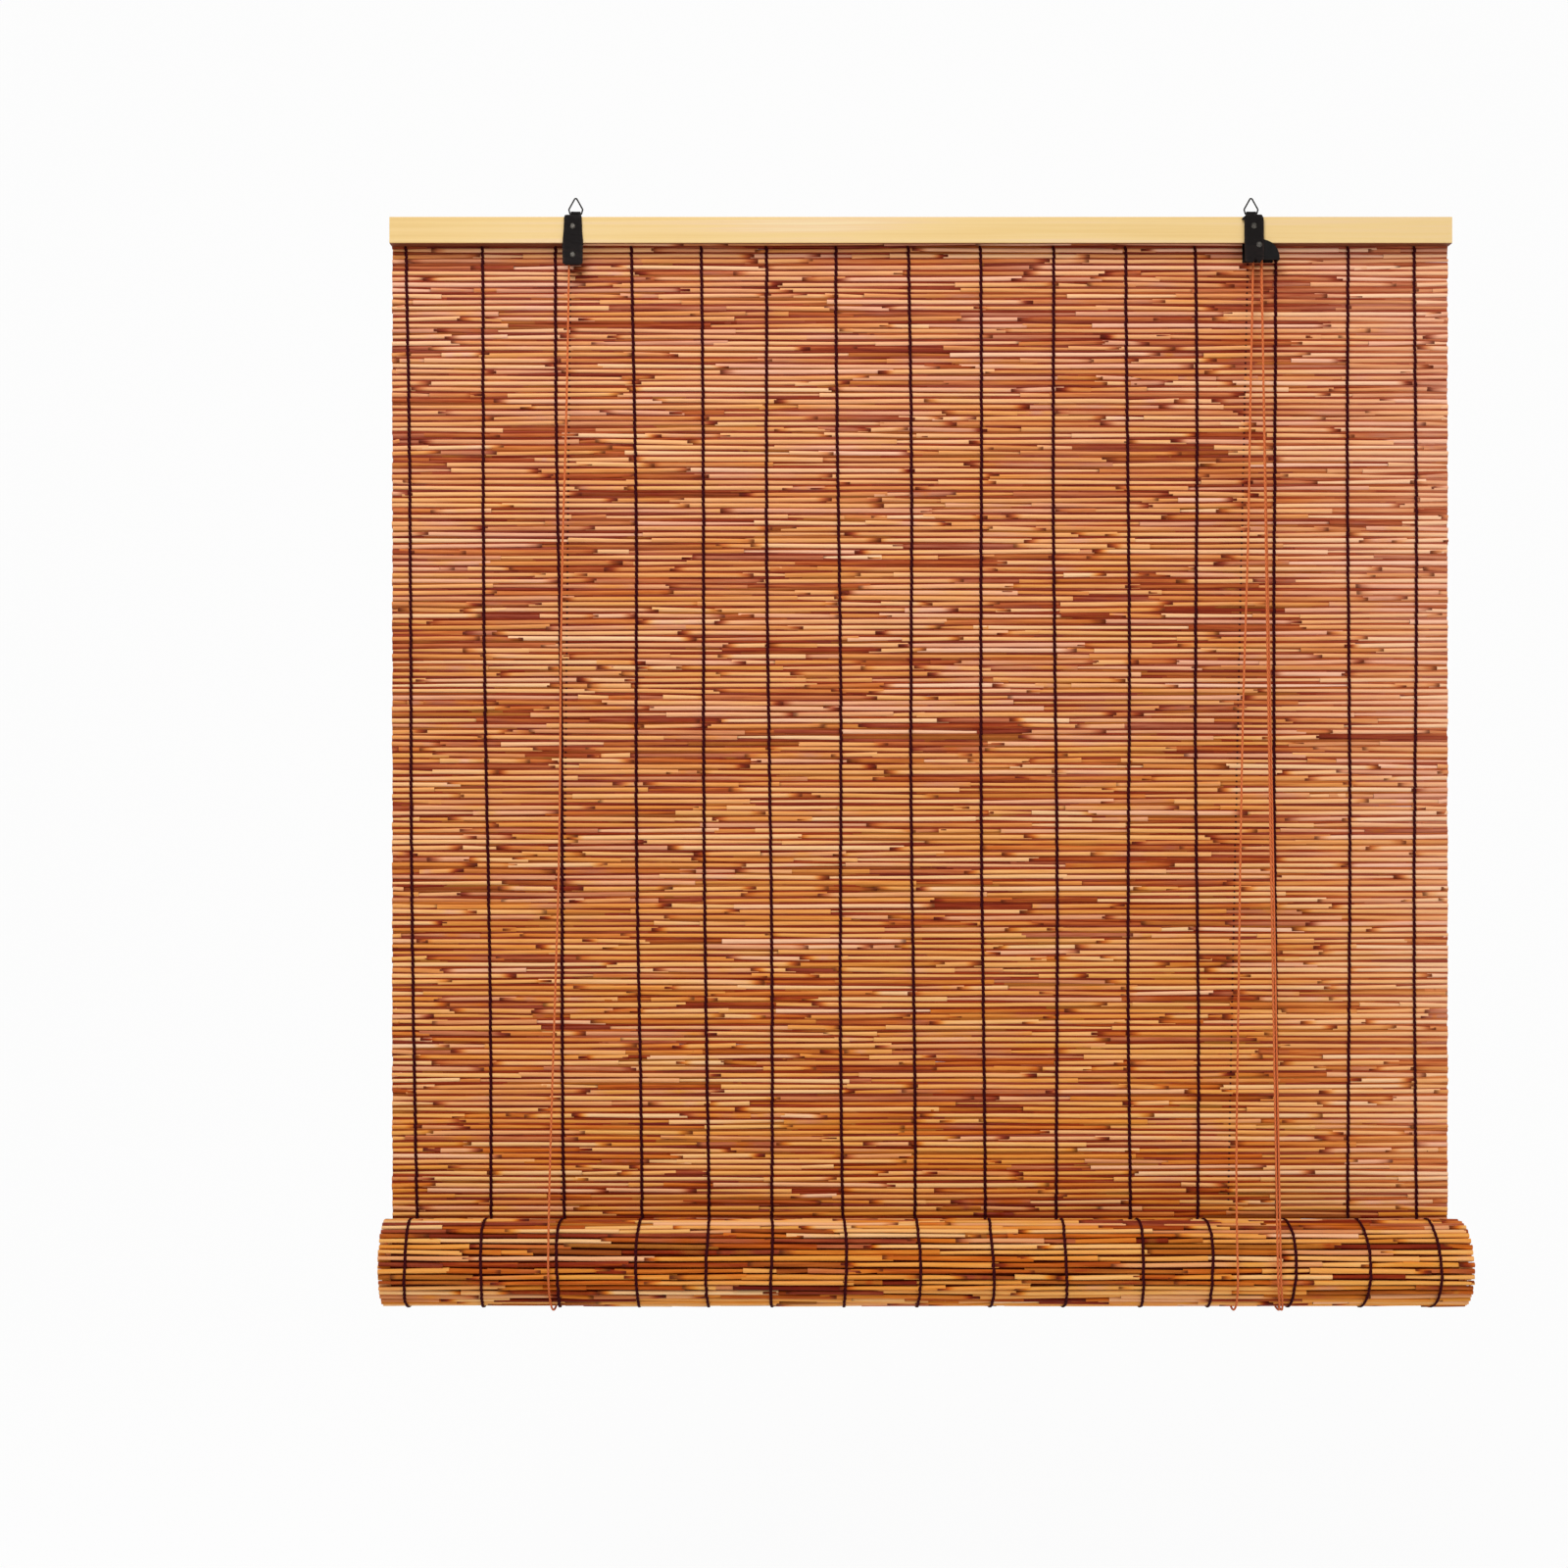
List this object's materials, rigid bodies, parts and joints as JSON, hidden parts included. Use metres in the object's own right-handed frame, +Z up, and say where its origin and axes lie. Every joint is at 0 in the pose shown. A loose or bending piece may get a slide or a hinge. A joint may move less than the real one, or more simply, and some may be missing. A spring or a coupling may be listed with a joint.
{
  "type": "reed roller blind",
  "caption": "Reed roller blind with a pine head, leather hangers, lift cords and a cord lock, its mat rolled up from the foot.",
  "frame": {"origin": "on the line of the two wall hooks, where the hanging rings bear on them, above the middle of the mat's width and in its mid-plane", "axes": "+Z up, +X to the right seen from the front, and the front of the blind faces -Y"},
  "size_m": [1, 0.1046, 1.0438],
  "materials": {
    "pine": "planed, clear",
    "reed": "stained, satin",
    "warp_thread": "matte",
    "cord": "twisted, matte",
    "leather": "worn, matte",
    "black_steel": "matte black",
    "bright_steel": "dull",
    "dark_wood": "waxed",
    "rod_wood": "plain"
  },
  "bodies": {
    "head": {"head_batten": "pine", "backing_strip": "pine", "strip_staples": "bright_steel", "reed_mat": "reed", "warp_threads": "warp_thread", "left_strap": "leather", "right_strap": "leather", "strap_rivets": "bright_steel", "left_axle": "bright_steel", "lock_axle": "bright_steel", "cord_peg": "bright_steel", "pulley_plate": "black_steel", "lock_housing": "black_steel", "cam_pin": "bright_steel", "jam_post": "bright_steel", "left_lift_cord": "cord", "right_lift_cord": "cord", "left_pull_cord": "cord", "right_pull_cord": "cord"},
    "roll": {"reed_roll": "reed", "roll_threads": "warp_thread", "foot_rod": "rod_wood", "cord_hank": "cord", "hank_tie": "cord", "pull_knob": "dark_wood"},
    "left_ring": {"left_ring": "bright_steel"},
    "right_ring": {"right_ring": "bright_steel"},
    "left_roller": {"left_roller": "bright_steel"},
    "lock_roller": {"lock_roller": "bright_steel"},
    "lock_cam": {"lock_cam": "bright_steel"}
  },
  "joints": [
    {"name": "roll_lift", "type": "slide", "parent": "head", "child": "roll", "axis": [0, 0, 1], "range_m": [0, 0.87], "deforming": ["reed_mat", "warp_threads", "left_lift_cord", "right_lift_cord", "left_pull_cord", "right_pull_cord"]},
    {"name": "left_ring_swing", "type": "hinge", "parent": "head", "child": "left_ring", "pos_m": [-0.326, 0, -0.0141], "axis": [1, 0, 0], "range_deg": [-90, 90]},
    {"name": "right_ring_swing", "type": "hinge", "parent": "head", "child": "right_ring", "pos_m": [0.3108, 0, -0.0141], "axis": [1, 0, 0], "range_deg": [-90, 90]},
    {"name": "left_roller_turn", "type": "hinge", "parent": "head", "child": "left_roller", "pos_m": [-0.3274, -0.00845, -0.0559], "axis": [0, 1, 0], "continuous": true},
    {"name": "lock_roller_turn", "type": "hinge", "parent": "head", "child": "lock_roller", "pos_m": [0.318, -0.00845, -0.0468], "axis": [0, 1, 0], "continuous": true},
    {"name": "lock_cam_swing", "type": "hinge", "parent": "head", "child": "lock_cam", "pos_m": [0.3312, -0.00845, -0.0545], "axis": [0, -1, 0], "range_deg": [0, 30]}
  ]
}
